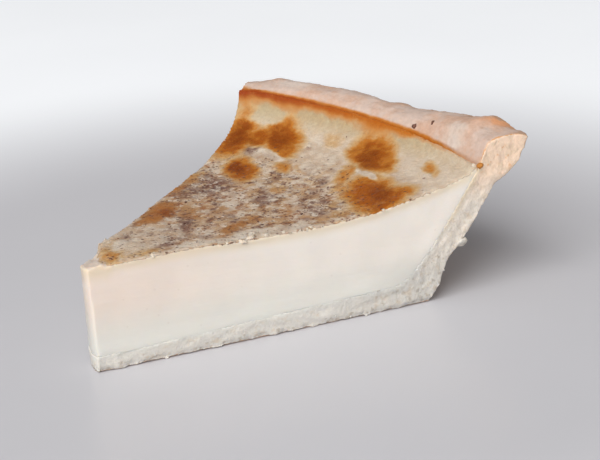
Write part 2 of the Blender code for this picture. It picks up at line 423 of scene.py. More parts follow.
class Look:
    """One material. Each call adds a node and links what it reads; lengths are in mm."""

    def __init__(self, name):
        self.material = bpy.data.materials.new(name)
        self.material.use_nodes = True
        self.tree = self.material.node_tree
        self.surface = self.tree.nodes["Principled BSDF"]
        coordinates = self.tree.nodes.new("ShaderNodeTexCoord")
        self.place = self.vector("SCALE", coordinates.outputs["Object"], Scale=1.0 / MM)

    def feed(self, node, inputs):
        """Feeds a node's sockets; a plain value stays on the socket itself."""
        for name, value in inputs.items():
            if isinstance(value, bpy.types.NodeSocket):
                self.tree.links.new(value, node.inputs[name])
            else:
                node.inputs[name].default_value = value

    def dress(self, inputs):
        """Feeds the surface, and hands over the material."""
        self.feed(self.surface, inputs)
        return self.material

    def add(self, kind, settings, inputs):
        node = self.tree.nodes.new("ShaderNode" + kind)
        for name, value in settings.items():
            setattr(node, name, value)
        self.feed(node, inputs)
        return node

    def vector(self, operation, first, second=None, **inputs):
        if second is not None:
            inputs[1] = second
        node = self.add("VectorMath", {"operation": operation}, {0: first, **inputs})
        return node.outputs["Value" if operation == "LENGTH" else "Vector"]

    def math(self, operation, first, second=0.0):
        return self.add("Math", {"operation": operation}, {0: first, 1: second}).outputs[0]

    def product(self, first, *others):
        for other in others:
            first = self.math("MULTIPLY", first, other)
        return first

    def fade(self, value, start, end, low=0.0, high=1.0):
        """Goes smoothly from low at start to high at end."""
        inputs = {"Value": value, "From Min": start, "From Max": end, "To Min": low, "To Max": high}
        return self.add("MapRange", {"interpolation_type": "SMOOTHSTEP"}, inputs).outputs[0]

    def noise(self, size, detail=2.0, rough=0.5, place=None, output="Fac"):
        inputs = {"Vector": place or self.place, "Scale": 1.0 / size, "Detail": detail, "Roughness": rough}
        return self.add("TexNoise", {}, inputs).outputs[output]

    def cloud(self, pattern, start, end, low=0.0, high=1.0):
        """A faded noise; the pattern is its size, its detail and its roughness."""
        return self.fade(self.noise(*pattern), start, end, low, high)

    def dots(self, size, rim, heart, strength, chance, place=None):
        """Dots that fade in from rim to heart, in some of the cells of a pattern, by chance."""
        cells = self.add("TexVoronoi", {}, {"Vector": place or self.place, "Scale": 1.0 / size})
        drawn = self.add("SeparateColor", {}, {0: cells.outputs["Color"]}).outputs[0]
        dot = self.fade(cells.outputs["Distance"], rim, heart, 0.0, strength)
        return self.product(dot, self.math("LESS_THAN", drawn, chance))

    def mix(self, first, second, *shares):
        """The first colour with a share of the second over it; several shares are multiplied."""
        inputs = {0: self.product(*shares), 6: opaque(first), 7: opaque(second)}
        return self.add("Mix", {"data_type": "RGBA"}, inputs).outputs[2]

    def ramp(self, value, *stops):
        """Goes from colour to colour; each stop is a value from 0 to 1 and a colour."""
        node = self.add("ValToRGB", {}, {0: value})
        points = node.color_ramp.elements
        while len(points) < len(stops):
            points.new(0.5)
        for point, (position, tone) in zip(points, stops):
            point.position = position
            point.color = opaque(tone)
        return node.outputs[0]

    def shade(self, tone, factor):
        """The colour made darker or lighter."""
        return self.vector("SCALE", tone, Scale=factor)

    def attribute(self, name):
        """The numbers that paint has kept under this name."""
        return self.add("Attribute", {"attribute_name": name}, {}).outputs["Fac"]

    def height(self):
        return self.add("SeparateXYZ", {}, {0: self.place}).outputs["Z"]

    def bump(self, height, depth, under=None):
        inputs = {"Height": height, "Distance": depth * MM}
        if under is not None:
            inputs["Normal"] = under
        return self.add("Bump", {}, inputs).outputs[0]

    def wander(self, size, reach, place=None):
        """The place, moved about so that the edges of patches are uneven."""
        drift = self.vector("SUBTRACT", self.noise(size, 2.0, output="Color"), (0.5, 0.5, 0.5))
        return self.vector("ADD", place or self.place, self.vector("SCALE", drift, Scale=reach))

    def patches(self, spots, place):
        """Soft ovals that run together: x, y, half length, half width, turn in degrees, strength."""
        field = None
        for x, y, half_length, half_width, turn, strength in spots:
            inputs = {
                "Vector": place,
                "Location": (x, y, 0.0),
                "Rotation": (0.0, 0.0, math.radians(turn)),
                "Scale": (half_length * OVAL_REACH, half_width * OVAL_REACH, ALL_HEIGHTS),
            }
            oval = self.add("Mapping", {"vector_type": "TEXTURE"}, inputs).outputs[0]
            inward = self.add("TexGradient", {"gradient_type": "SPHERICAL"}, {0: oval}).outputs["Fac"]
            spot = self.fade(inward, 0.0, OVAL_HEART, 0.0, strength)
            if field is not None:
                inputs = {0: spot, 1: field, 2: OVAL_BLEND}
                spot = self.add("Math", {"operation": "SMOOTH_MAX"}, inputs).outputs[0]
            field = spot
        return field

    def around(self):
        """0 at the front cut and 1 at the back cut, and the distance from the middle of the pie."""
        out = self.vector("SUBTRACT", self.place, tuple(PIE_MIDDLE / MM))
        flat = self.vector("MULTIPLY", out, (1.0, 1.0, 0.0))
        parts = self.add("SeparateXYZ", {}, {0: out}).outputs
        angle = self.math("ARCTAN2", parts["Y"], parts["X"])
        share = self.math("DIVIDE", self.math("ADD", angle, HALF_SLICE), 2.0 * HALF_SLICE)
        return share, self.vector("LENGTH", flat)


# Where the custard has browned, in mm: x, y, half length, half width, turn in degrees, strength
BROWNED = (
    (17, -21.8, 12.6, 7, 50, 1.25),  # the strongest patch, at the front cut
    (15.5, -28.5, 9.5, 5.2, 0, 1.1),
    (34.4, -7.8, 11, 6, 60, 1.12),  # beside it towards the crust
    (31.5, -13, 6.4, 5, 50, 1),
    (23.5, -7.6, 7, 2.6, 24, 0.7),  # and its tail
    (17, -11.5, 4, 3, 40, 0.5),
    (25.8, 33.6, 11.5, 5.6, 22, 1.12),  # along the back cut
    (29.6, 27.8, 5.4, 5, 80, 1.1), (31.5, 21.5, 11, 6, 52, 1.12),
    (13.8, 19.6, 8.6, 4.7, 54, 1.25), (20.3, 11.3, 4.6, 3, 45, 0.6),
    (33.4, -27.4, 3.8, 2.4, 50, 0.6), (31.5, -30.6, 2.8, 1.6, 50, 0.4),
    (36, 7.5, 4.8, 3.4, 45, 0.34), (22.3, 5.5, 4.6, 3, 45, 0.26),
    (8.2, 1.2, 4.4, 2.8, 40, 0.42), (-2.6, -11.6, 4.8, 2.8, 35, 0.42),
    (3.5, -23, 6.5, 2.6, -15, 0.42), (7, -17.5, 4, 2.2, 30, 0.3),
    (-17, -9, 8.5, 3, 14, 0.55), (-10.5, -8.6, 4, 2.4, 30, 0.4),
    (-11.8, 2.8, 6, 3.6, 30, 0.3), (-21, 13.6, 9, 5, 25, 0.8),
    (-28.5, 12.4, 4, 2.2, 25, 0.5), (-17, 7, 7.5, 4.4, 50, 0.42),
    (-7, 22.5, 7.5, 2.2, 24, 0.55), (2.4, 26, 6, 2.2, 24, 0.5),
    (-49.2, -1, 6.2, 4, 55, 0.52), (-42.4, 4.6, 5.5, 2.6, 40, 0.28),
    (-42, -6.2, 7.5, 2.2, -21, 0.4), (-33, -7, 5.5, 2.2, 10, 0.28),
)

# The darkest hearts of the browning, in mm
BURNT = (
    (18.5, -24, 6, 3.4, 48, 0.9), (13, -28, 4, 2, 30, 0.5),
    (32.5, -8, 7.5, 3.4, 42, 0.85), (27.4, 34.4, 6, 3.2, 25, 0.85),
    (31.6, 22.6, 6.5, 3.6, 50, 0.7), (27, 29.5, 3.6, 2.4, 60, 0.45),
    (14.4, 21.4, 4.4, 2.4, 50, 1), (-20, 11.6, 4, 2.4, 50, 0.9),
    (-3.4, -11, 2.6, 1.2, 30, 0.5),
)

# Where nutmeg lies thick and has stained the top, in mm
SPICED = (
    (1.2, 17, 9, 5.6, 45, 0.95), (-7, 17.8, 5.5, 3.5, 30, 0.8),
    (5, 24, 5, 2.4, 30, 0.6), (1, -0.5, 6, 3.4, 40, 0.8),
    (5.5, -13.8, 8.5, 4.2, 45, 0.85), (-0.5, -19, 5, 2.4, -15, 0.6),
    (-23.3, 1, 7.5, 2.6, 45, 0.85), (-34.7, -5.6, 6.5, 3, 10, 0.75),
    (-28, -3.5, 4, 2.2, 30, 0.5), (14.5, 8, 3.2, 1.9, 45, 0.75),
    (18, -4.8, 4.2, 2.2, 30, 0.65), (12, -6.8, 4.2, 2.4, 45, 0.55),
    (23.9, 26, 3.6, 2.6, 45, 0.8), (31.6, 12.5, 2, 1.2, 60, 0.55),
    (-38.5, 5.8, 4, 1.8, 40, 0.5), (-5.5, 8.5, 4, 2.2, 45, 0.6),
    (-13, -2, 4, 2, 40, 0.45), (-26.5, -8.8, 4, 1.6, -10, 0.5),
)

# Single dark specks, in mm: x, y, length
DARK_SPECKS = (
    (-50.4, -2.2, 1), (38.7, 5, 0.9), (28.5, -29.5, 1), (-12, 13.4, 1.9),
    (-1, -15.5, 1.6), (14.5, 8.2, 1.1), (18, -5, 1), (31.8, 12.4, 0.9),
    (44.2, -13.7, 2), (-3, -11, 0.9), (44.6, -19.4, 1.5), (-23, 2.4, 1.2),
    (-35.6, -7, 1), (5.8, -15.6, 1.1),
)

# Scraps of custard that the knife left on the top, in mm: x, y, length
SCRAPS = (
    (-20.5, -16.8, 2.8), (-19.2, -16.2, 2.6), (-18, -15.4, 2.3), (-22.4, -16.8, 2.2),
    (-16.6, -18.6, 1.9), (-26, -15, 1.6), (-12.4, -20.2, 1.6), (-43, -8.4, 1.4),
    (-6, -23, 1.5), (35.3, -40.2, 1.9),
)

# Pale strips that have neither browned nor been spiced, in mm
PALE = (
    (25.4, -13.6, 5.5, 1.3, 72, 1), (24, 18.6, 6.5, 1.9, 80, 0.9),
    (36.2, 31, 6.5, 2.2, 115, 1), (-15, -17.4, 11, 3, -24, 1),
    (-30, -11.6, 8, 2.2, -24, 0.8), (-43, 3.2, 5, 2, 30, 0.7),
    (23, 4, 6, 2.6, 50, 0.6),
)

# The toasted flake on the crest of the rim, in mm
FLAKE = ((49, -38.5, 6, 2.4, -60, 1),)

# Paler places on the rim, in mm
PALE_RIM = (
    (41.5, -29.5, 6, 2.6, 65, 0.36), (52, 6, 9, 2.6, 84, 0.12),
    (46, 31, 9, 2.6, 107, 0.24),
)

CLEAR_FROM = 78.0  # mm from the middle of the pie, where the nutmeg thins out
CLEAR_TO = 96.0
TIP_BREAK = -52.5  # mm, the skin is broken off in front of this x, where y is 0
TIP_SLANT = 0.854  # the break runs across the tip at this slope
TIP_REACH = -53.6  # mm, and no skin is left in front of this x
TIP_ROOT = 21.0  # mm, below this height the break doesn't reach
LEDGE_HEIGHT = 24.4  # mm, of the bare step that the break left, at the back corner of the tip
LEDGE_RISE = 0.27  # how steeply the step climbs from there to the front cut
LEDGE_BACK = 4.1  # mm, the y of that corner
LEDGE_UNDER = 0.25  # mm, that the step stays under the skin at the least
SKIN_HEIGHT = 26.1  # mm, of the skin beside it
TIP_ZONE = 24.0 * MM  # from the middle of the pie, beyond which the top is left as it is
BREAK_SIZE = 1.8 * MM  # of the notches along the line of the break
BREAK_REACH = 0.6  # mm, how far they go
BREAK_BLEND = 0.5  # mm, over which the skin ends there


def seam_looks(look, pie, around):
    """The colour and the strength of the line along the crust, darkest towards the back cut."""
    tone = look.mix(pie.pastry.seam_amber, pie.pastry.seam, look.fade(around, 0.3, 1.0))
    return tone, look.fade(around, 0.02, 0.36, 0.25, 1.0)


def custard_look(pie):
    sizes = pie.custard
    look = Look("custard")
    around, radius = look.around()
    roam = look.wander(1.3, 0.8, look.wander(6, 3.6))

    # The baked top, from pale cream to brown
    mottle = look.noise(3.6, 5, 0.66)
    fine = look.noise(0.9, 3, 0.6)
    open_top = look.fade(radius, CLEAR_TO, CLEAR_FROM)
    dull = look.product(look.fade(mottle, 0.4, 0.62, 0.0, 0.9), look.fade(radius, 102, 92, 0.2, 1.0))
    pale = look.mix(sizes.cream, sizes.greige, dull, look.fade(radius, 20, 52, 0.35, 1.0))
    yellow = look.fade(radius, 100, 107)
    pale = look.mix(pale, sizes.yolk, yellow, look.fade(around, 0.0, 0.4, 0.3, 1.0))
    kept = look.fade(look.patches(PALE, roam), 0.1, 0.7, 1.0, 0.15)
    smudge = look.product(look.cloud((3.4, 3, 0.55), 0.42, 0.58, 0.0, 0.6), open_top, kept)
    pale = look.mix(pale, sizes.smudge, smudge, look.fade(radius, 24, 50, 0.35, 1.0))
    ragged = look.cloud((2.4, 4, 0.5), 0.25, 0.75, 0.72, 1.2)
    brown = look.product(look.patches(BROWNED, roam), ragged, kept)
    tone = look.ramp(brown, (0.36, sizes.straw), (0.68, sizes.amber), (1.0, sizes.caramel))
    inner = look.fade(radius, 80, 62, 0.0, 0.62)
    tone = look.mix(tone, sizes.russet, inner, look.fade(radius, 20, 30))
    top = look.mix(pale, tone, look.fade(brown, 0.0, 0.45))
    heart = look.product(look.patches(BURNT, roam), ragged)
    top = look.mix(top, sizes.burnt, look.fade(heart, 0.0, 1.1, 0.0, 0.8))

    # Nutmeg that has sunk in: stains, and specks too fine to be pieces
    drift = look.patches(SPICED, roam)
    stain = look.product(drift, look.cloud((2.4, 3, 0.55), 0.34, 0.54))
    light_stain = look.product(open_top, look.cloud((2.6, 5, 0.7), 0.48, 0.62, 0.0, 0.85))
    light_stain = look.product(light_stain, look.fade(radius, 20, 50, 0.25, 1.0))
    stain = look.math("MAXIMUM", stain, light_stain)
    dry = look.product(look.cloud((6, 4, 0.6), 0.42, 0.56), look.fade(drift, 0.2, 0.6, 1.0, 0.3))
    stained = look.mix(sizes.dusk, sizes.russet, dry)
    top = look.mix(top, stained, stain, look.fade(brown, 0.3, 0.7, 1.0, 0.15), kept)
    streak = look.product(open_top, look.cloud((2.2, 4, 0.62), 0.54, 0.66, 0.0, 0.75))
    top = look.mix(top, sizes.cream, streak, look.fade(brown, 0.2, 0.6, 1.0, 0.1))
    chance = look.product(look.math("ADD", drift, look.fade(mottle, 0.4, 0.7, 0.1, 0.5)), 0.65, open_top)
    speck = look.dots(0.95, 0.5, 0.2, 0.85, chance, look.wander(0.7, 0.5))
    top = look.mix(top, sizes.speck, speck)
    top = look.shade(top, look.fade(fine, 0.2, 0.8, 0.9, 1.08))

    # The line along the crust, where the edge has caught the most heat
    reach = look.fade(around, 0.12, 0.55, 0.34, 1.3)
    reach = look.product(reach, look.cloud((9, 3, 0.5), 0.32, 0.68, 0.55, 1.4))
    edge = look.math("DIVIDE", look.attribute("to_join"), reach)
    seam, strength = seam_looks(look, pie, around)
    top = look.mix(top, pie.pastry.seam_light, look.fade(edge, 3, 0.8), strength)
    top = look.mix(top, seam, look.fade(edge, 1.5, 0.4), strength)

    # The cut faces, with painted shade in places
    side = look.mix(sizes.inside, sizes.inside_warm, look.fade(radius, 60, 12))
    # Greyer and a little darker towards the bottom
    side = look.mix(side, sizes.inside_low, look.fade(look.height(), 18, 6))
    side = look.shade(side, look.cloud((8, 3), 0.3, 0.7, 0.985, 1.015))
    # Faint dots of the duller tone: painted shade of small pits in the cut
    side = look.mix(side, sizes.greige, look.dots(2.4, 0.16, 0.08, 0.12, 0.25))
    # Painted shade: the cut is darker low down in the corner by the crust
    corner = look.product(look.fade(radius, 68, 92), look.fade(look.height(), 17, 7))
    side = look.shade(side, look.fade(corner, 0.0, 1.0, 1.0, 0.9))
    side = look.mix(side, sizes.under_skin, look.attribute("near_top"), 0.7)
    # Painted shade on bare custard that looks up
    side = look.mix(side, sizes.ledge, look.attribute("ledge"))
    # Painted shade: the scraps of custard are made darker, so that the light on them doesn't make them
    # stand out
    side = look.shade(side, look.fade(look.attribute("loose"), 0.0, 1.0, 1.0, 0.92))
    # Painted shade: the blunt end at the tip is made darker, as the light falls full on it
    side = look.shade(side, look.fade(look.attribute("end"), 0.0, 1.0, 1.0, 0.93))
    uneven = look.cloud((0.9, 3), 0.3, 0.7, -0.35, 0.35)
    cover = look.fade(look.math("ADD", look.attribute("skin"), uneven), 0.4, 0.62)
    along = look.vector("MULTIPLY", look.place, (0.2, 0.2, 1.0))
    relief = look.bump(look.product(fine, cover), 0.3)
    return look.dress({
        "Base Color": look.mix(side, top, cover),
        "Roughness": look.cloud((2.5, 3), 0.3, 0.7, 0.42, 0.6),
        "Specular IOR Level": 0.12,
        "Subsurface Weight": 0.3,
        "Subsurface Radius": (1.0, 0.7, 0.45),
        "Subsurface Scale": 1.2 * MM,
        "Normal": look.bump(look.noise(2.2, 4, 0.55, along), 0.12, relief),
    })


def pastry_look(pie):
    sizes = pie.pastry
    look = Look("pastry")
    around, radius = look.around()
    height = look.height()
    cut = look.attribute("cut")
    soaked = look.attribute("soaked")

    # The baked skin
    blotch = look.noise(7, 4, 0.6)
    warm = look.fade(look.math("ADD", blotch, look.fade(around, 0.0, 1.0, 0.06, -0.08)), 0.38, 0.65)
    skin = look.mix(sizes.bare, sizes.blush, warm)
    outer = look.fade(look.math("ADD", radius, look.fade(blotch, 0.3, 0.7, -1.5, 1.5)), 117.5, 120.5)
    skin = look.mix(skin, sizes.crest, outer, 0.75)
    flake = look.patches(FLAKE, look.wander(2, 2))
    skin = look.mix(skin, sizes.flake, flake, look.cloud((2, 3), 0.25, 0.5))
    under = look.mix(sizes.golden, sizes.brown, look.fade(blotch, 0.35, 0.65))
    skin = look.mix(skin, under, look.attribute("outside"))
    paler_rim = look.fade(look.patches(PALE_RIM, look.wander(3, 5)), 0.0, 0.8)
    skin = look.mix(skin, sizes.floor, paler_rim)
    skin = look.shade(skin, look.cloud((2.2, 4, 0.65), 0.3, 0.7, 0.95, 1.05))
    skin = look.mix(skin, sizes.seam_light, look.attribute("toasted"))
    seam, strength = seam_looks(look, pie, around)
    line = look.product(look.attribute("seam"), strength)
    line = look.product(line, look.cloud((3, 4, 0.6), 0.3, 0.7, 0.75, 1.1))
    skin = look.mix(skin, sizes.seam_light, look.fade(line, 0.05, 0.5))
    skin = look.mix(skin, seam, look.fade(line, 0.3, 0.85))

    # The crumb of the cut faces, with painted shade in places
    crumb = look.noise(1.5, 4, 0.62)
    inside = look.mix(sizes.floor, sizes.wall, look.fade(height, 4, 16))
    inside = look.mix(inside, sizes.rim, look.fade(height, 22, 33))
    inside = look.mix(inside, sizes.tan, look.cloud((2.4, 4, 0.6), 0.52, 0.68, 0.0, 0.4))
    butter = look.cloud((1.6, 2), 0.6, 0.74, 0.0, 0.6)
    inside = look.mix(inside, sizes.amber, butter, look.fade(height, 26, 34))
    # Painted shade: dark dots for the small holes, most at the foot and by the wall, none high up
    coarse = look.math("MAXIMUM", look.fade(height, 2.2, 0.6), look.fade(radius, 78, 92))
    chance = look.product(look.math("ADD", 0.08, look.product(coarse, 0.42)), look.fade(height, 18, 8))
    pit_shade = look.dots(1.3, 0.55, 0.1, 0.5, chance, look.wander(0.9, 1.3))
    inside = look.mix(inside, sizes.pore_shade, pit_shade, look.fade(soaked, 0.9, 0.2))
    moist = look.mix(pie.custard.inside_low, pie.custard.under_skin, look.fade(height, 12, 24))
    inside = look.mix(inside, moist, soaked, 0.8)
    # Painted shade: the cut is darker low down in the corner by the wall
    damp_and_shade = look.product(look.fade(radius, 56, 84), look.fade(height, 14, 8))
    inside = look.shade(inside, look.fade(damp_and_shade, 0.0, 1.0, 1.0, 0.91))

    # Where the two meet, with a toasted margin at the rim
    tone = look.mix(skin, inside, cut)
    margin = look.product(look.fade(cut, 0.0, 0.5), look.fade(cut, 1.0, 0.7), look.fade(height, 27, 35))
    tone = look.mix(tone, sizes.amber, margin, look.cloud((2.4, 3), 0.35, 0.6, 0.3, 0.85))
    tone = look.shade(tone, look.cloud((0.8, 2), 0.2, 0.8, 0.94, 1.05))
    relief = look.bump(look.product(crumb, cut), 0.22)
    return look.dress({
        "Base Color": tone,
        "Roughness": 0.8,
        "Specular IOR Level": 0.2,
        "Subsurface Weight": 0.2,
        "Subsurface Radius": (1.0, 0.75, 0.5),
        "Subsurface Scale": 1.0 * MM,
        "Normal": look.bump(look.noise(0.6, 3), 0.12, relief),
    })


def spice_look(pie):
    """Dry specks, each a little lighter or darker than the next."""
    look = Look("nutmeg")
    return look.dress({
        "Base Color": look.shade(tuple(pie.spice.nutmeg), look.cloud((1.0, 2), 0.3, 0.7, 0.6, 1.7)),
        "Roughness": 0.8,
        "Specular IOR Level": 0.15,
        "Normal": look.bump(look.noise(0.3, 2), 0.05),
    })


# ------------ small pieces


def scatter(piece, count, middling, chance, dice, spread=0.35):
    """Random places on a piece, with the way its surface faces there and a length for each."""
    faces = piece.data.polygons
    spots = []
    while len(spots) < count:
        face = faces[dice.randrange(len(faces))]
        if dice.random() < chance(face.center, face.normal):
            spots.append((face.center.copy(), face.normal.copy()))
    return [(*spot, middling * dice.lognormvariate(0.0, spread)) for spot in spots]


def drop(x, y, millimetres):
    """Where something dropped at x, y in mm comes to lie, the way up there, and its length."""
    start = Vector((x * MM, y * MM, OVERHEAD))
    hits = [bpy.data.objects[name].ray_cast(start, -UP) for name in ("custard_fill", "pastry_crust")]
    _, place, normal, _ = max((hit for hit in hits if hit[0]), key=lambda hit: hit[1].z)
    return place, normal, millimetres * MM


CHIP_UNEVEN = 0.18  # how far the corners of a chip may lie off a ball, of its width
CHIP_WIDTHS = (0.5, 0.8)  # of its length


def chips(name, dice, count, finer, flatness):
    """Uneven chips, 1 m across, to be copied at their real size."""
    made = []
    for _ in range(count):
        bpy.ops.object.select_all(action="DESELECT")
        bpy.ops.mesh.primitive_ico_sphere_add(subdivisions=finer, radius=0.5)
        shape = bpy.context.object
        shape.name = name
        edit(shape, bpy.ops.transform.vertex_random, offset=CHIP_UNEVEN, seed=dice.randrange(1000))
        edit(shape, bpy.ops.transform.resize, value=(1.0, dice.uniform(*CHIP_WIDTHS), flatness))
        made.append(shape)
    return made


def strew(name, shapes, spots, dice, sink):
    """Copies of the shapes, each at a place, a way up and a length, joined as one piece."""
    copies = []
    for place, normal, size in spots:
        piece = add_object(name, dice.choice(shapes).data.copy())
        turn = normal.to_track_quat("Z", "Y").to_matrix().to_4x4()
        spin = Matrix.Rotation(dice.uniform(0.0, 2.0 * math.pi), 4, "Z")
        at = Matrix.Translation(place - normal * size * sink)
        piece.data.transform(at @ turn @ spin @ Matrix.Scale(size, 4))
        copies.append(piece)
    bpy.ops.object.select_all(action="DESELECT")
    for piece in copies:
        piece.select_set(True)
    bpy.context.view_layer.objects.active = copies[0]
    bpy.ops.object.join()
    for shape in shapes:
        bpy.data.objects.remove(shape)
    copies[0].name = name
    hold_in_box(copies[0])
    return copies[0]


# ------------ operators


class PIE_OT_custard(bpy.types.Operator):
    """Makes the set custard, with its dimpled top and its two cut faces"""

    bl_idname = "pie.custard"
    bl_label = "Custard"

    def execute(self, context):
        pie = context.scene.pie_slice
        sizes = pie.custard
        solid, crust = form_of("custard"), form_of("crust")
        piece = copy_of("custard", "custard_fill")
        spread_into(piece, crust, sizes.fit)
        finish_with(piece, "REMESH", mode="VOXEL", voxel_size=sizes.grain)
        verts = piece.data.vertices
        depths = [depth_under(solid, vert.co) for vert in verts]
        cuts = [faces_cut(vert) for vert in verts]
        painted, grouped = [], []
        for vert, depth, cut in zip(verts, depths, cuts):
            bare = cut * fade(depth, 0.3 * sizes.skin, 1.2 * sizes.skin)
            painted.append({
                "skin": 1.0 - max(bare, beyond_break(vert.co)),
                "near_top": fade_mm(depth, 3.5, 0.6),
                # Where the blunt end at the tip takes painted shade
                "end": fade(-vert.normal.x, 0.6, 0.9) * near_tip(vert.co),
                "to_join": from_join(vert.co) / MM,
            })
        paint(piece, painted)
        break_tip(piece, depths)

        for vert, depth, cut in zip(verts, depths, cuts):
            up = fade(vert.normal.z, 0.4, 0.8)
            inner = fade_mm(from_cut(vert.co), 0.5, 1.6)
            low = fade_mm(depth, 0.5, 2) * fade_mm(crust.find_nearest(vert.co)[3], 0.6, 4)
            grouped.append({
                "open": up * inner,
                "torn": up * (1.0 - inner),
                "side": cut * low,
                "cut": cut,
                "tip": near_tip(vert.co),
                "broken": up * beyond_break(vert.co),
            })
        group(piece, grouped)
        soften(piece, "open", times=12)
        soften(piece, "tip", times=6)
        press(piece, "broken", sizes.tear_size, 0.5 * sizes.tear_depth)
        press(piece, "open", sizes.dimple_size, sizes.dimple_depth)
        press(piece, "open", sizes.pimple_size, sizes.pimple_depth)
        press(piece, "torn", sizes.tear_size, sizes.tear_depth, middle=0.62)
        press(piece, "side", sizes.wave_size, sizes.wave_depth, middle=1.0)
        lay_back(piece, "cut", sizes.shrink)
        hold_in_slice(piece)
        # How far each face looks up, for the painted shade of the ledge colour
        paint(piece, [{"ledge": fade(vert.normal.z, 0.3, 0.8)} for vert in piece.data.vertices])
        hand_over(piece, custard_look(pie), "custard", "custard")
        return {"FINISHED"}


def beyond_break(place):
    """1 where the skin has broken off the tip, along a ragged line, and 0 where it is left."""
    ragged = noise.noise(Vector((place.x, place.y, 0.0)) / BREAK_SIZE) * BREAK_REACH
    x, y = place.x / MM + ragged, place.y / MM
    across = fade(x - TIP_SLANT * y, TIP_BREAK + BREAK_BLEND, TIP_BREAK)
    return max(across, fade(x, TIP_REACH + BREAK_BLEND, TIP_REACH))


def break_tip(piece, depths):
    """Lowers the top beyond the break to the bare step, and lifts what lies behind it to the skin."""
    for vert, depth in zip(piece.data.vertices, depths):
        top = (vert.co.z + depth) / MM
        height = vert.co.z / MM
        if height > TIP_ROOT and from_middle(vert.co) < TIP_ZONE:
            share = beyond_break(vert.co)
            step = LEDGE_HEIGHT + LEDGE_RISE * (LEDGE_BACK - vert.co.y / MM)
            step = min(step, SKIN_HEIGHT - LEDGE_UNDER)
            wanted = share * step + (1.0 - share) * max(top, SKIN_HEIGHT)
            vert.co.z = MM * (TIP_ROOT + (height - TIP_ROOT) * (wanted - TIP_ROOT) / (top - TIP_ROOT))


class PIE_OT_pastry(bpy.types.Operator):
    """Makes the pastry crust, crumbly where it is cut and smooth where it was baked"""

    bl_idname = "pie.pastry"
    bl_label = "Pastry"

    def execute(self, context):
        pie = context.scene.pie_slice
        sizes = pie.pastry
        custard = form_of("custard")
        piece = copy_of("crust", "pastry_crust")
        finish_with(piece, "REMESH", mode="VOXEL", voxel_size=sizes.grain)
        painted, grouped = [], []
        for vert in piece.data.vertices:
            place = vert.co
            gap = custard.find_nearest(place)[3]
            cut = faces_cut(vert)
            inside = fade_mm(from_middle(place), RIM_INSIDE, RIM_INSIDE - 0.8)
            inside = max(inside, fade(along_crust(place), 0.93, 1.0))
            reach = SEAM_REACH + SEAM_REACH * fade(along_crust(place), 0.86, 1.0)
            coarse = 0.5 + 0.5 * fade_mm(from_middle(place), 50, 90)
            painted.append({
                "cut": cut,
                "outside": fade(vert.normal.z, 0.1, -0.4) * fade_mm(from_cut(place), 0.8, 2.4),
                "soaked": fade_mm(gap, 2.6, 0.6),
                "seam": fade_mm(from_join(place), reach, 0.2) * inside,
            })
            grouped.append({
                "crumbly": cut * (fade_mm(gap, 0.3, 3) * coarse),
                "bed": (1.0 - cut) * fade_mm(gap, 1.0, 0.5),
                "foot": fade_mm(place.z, 1.6, 0.4) * fade_mm(from_cut(place), 1.2, 0.2),
                "baked": (1.0 - cut) * fade_mm(gap, 0.6, 2) * fade_mm(place.z, 0.2, 1.5),
                "lip": cut * fade_mm(gap, 3, 0.8),
            })
        paint(piece, painted)
        group(piece, grouped)
        soften(piece, "baked", times=8)
        lay_back(piece, "bed", sizes.bed_depth)
        lay_back(piece, "lip", sizes.lip_depth)
        press(piece, "baked", sizes.skin_size, sizes.skin_depth)
        press(piece, "baked", sizes.grit_size, sizes.grit_depth)
        press(piece, "crumbly", sizes.crumb_size, sizes.crumb_depth, middle=0.7)
        press(piece, "crumbly", sizes.pore_size, sizes.pore_depth, middle=0.6)
        press(piece, "foot", sizes.foot_size, sizes.foot_depth, middle=0.8)
        hold_in_slice(piece)
        hand_over(piece, pastry_look(pie), "pastry", "crust")
        return {"FINISHED"}


STREAK_SIZE = 7.0 * MM  # of the streaks that the nutmeg has fallen in
WALL_CRUMB = Vector((30.9, -38.9, 14.2)) * MM  # sticks out of the wall beside the front cut
WALL_CRUMB_LENGTH = 4.2 * MM
BROWN_CRUMB = Vector((36.1, -41.05, 33.5)) * MM  # at the front end of the line along the crust
BROWN_CRUMB_LENGTH = 2.3 * MM


class PIE_OT_nutmeg(bpy.types.Operator):
    """Strews ground nutmeg over the custard, thick in drifts and thin beside the crust"""

    bl_idname = "pie.nutmeg"
    bl_label = "Nutmeg"

    def execute(self, context):
        pie = context.scene.pie_slice
        dice = random.Random(SEED)
        custard = bpy.data.objects["custard_fill"]

        def chance(place, normal):
            if normal.z < 0.6 or beyond_break(place) > 0.0:
                return 0.0
            open_top = fade_mm(from_middle(place), CLEAR_TO, CLEAR_FROM)
            drift = max(drift_at(place, *spot) for spot in SPICED)
            slanting = Vector((place.x + place.y, 2.0 * (place.y - place.x), 0.0))
            streak = fade(noise.noise(slanting / STREAK_SIZE), -0.1, 0.4)
            few = 0.3 + 0.7 * fade_mm(from_middle(place), 16, 46)
            # A little all over, more in the streaks and most in the drifts
            return few * open_top * (0.08 + 0.5 * streak * (0.3 + drift) + 0.35 * drift)

        spots = scatter(custard, pie.spice.flecks, pie.spice.fleck, chance, dice)
        spots += [drop(*speck) for speck in DARK_SPECKS]
        shapes = chips("fleck", dice, count=4, finer=1, flatness=0.35)
        piece = strew("nutmeg_flecks", shapes, spots, dice, sink=0.08)
        hand_over(piece, spice_look(pie), "custard")
        return {"FINISHED"}


def drift_at(place, x, y, half_length, half_width, turn, strength):
    """How thick a drift of nutmeg lies at a place."""
    away = Matrix.Rotation(-math.radians(turn), 2) @ Vector((place.x / MM - x, place.y / MM - y))
    return strength * fade(math.hypot(away.x / half_length, away.y / half_width), 1.4, 0.4)


